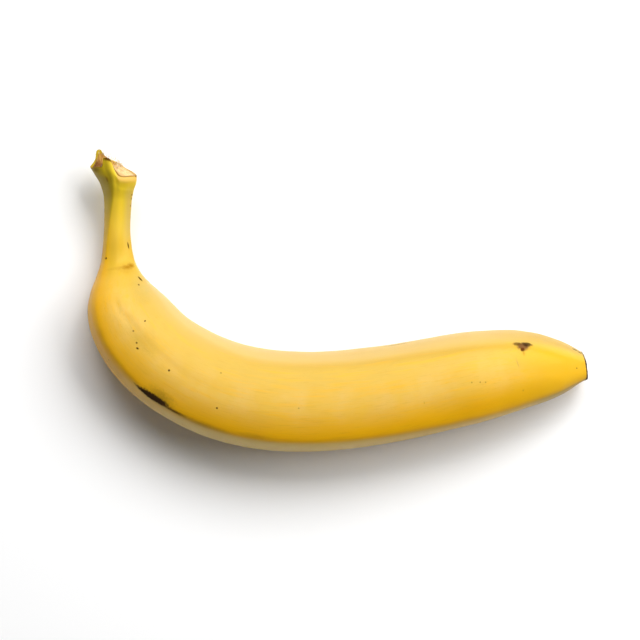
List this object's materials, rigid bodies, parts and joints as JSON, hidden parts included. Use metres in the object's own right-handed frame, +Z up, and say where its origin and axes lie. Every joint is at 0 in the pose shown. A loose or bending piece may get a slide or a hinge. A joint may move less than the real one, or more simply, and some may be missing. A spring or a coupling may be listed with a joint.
{
  "type": "whole banana",
  "caption": "Whole unpeeled ripe banana lying on its side: a long curved fruit with a torn stalk end and a blunt flower end.",
  "frame": {"origin": "middle of the outline in plan, on the table the fruit lies on", "axes": "+Z up from the table, +X along the fruit's longest extent towards its flower end, +Y towards the torn end of the stalk"},
  "size_m": [0.1812, 0.1094, 0.0337],
  "materials": {
    "peel": "satin",
    "torn_flesh": "matte",
    "dried_end": "matte"
  },
  "bodies": {
    "root": {"banana": "peel"}
  },
  "joints": []
}
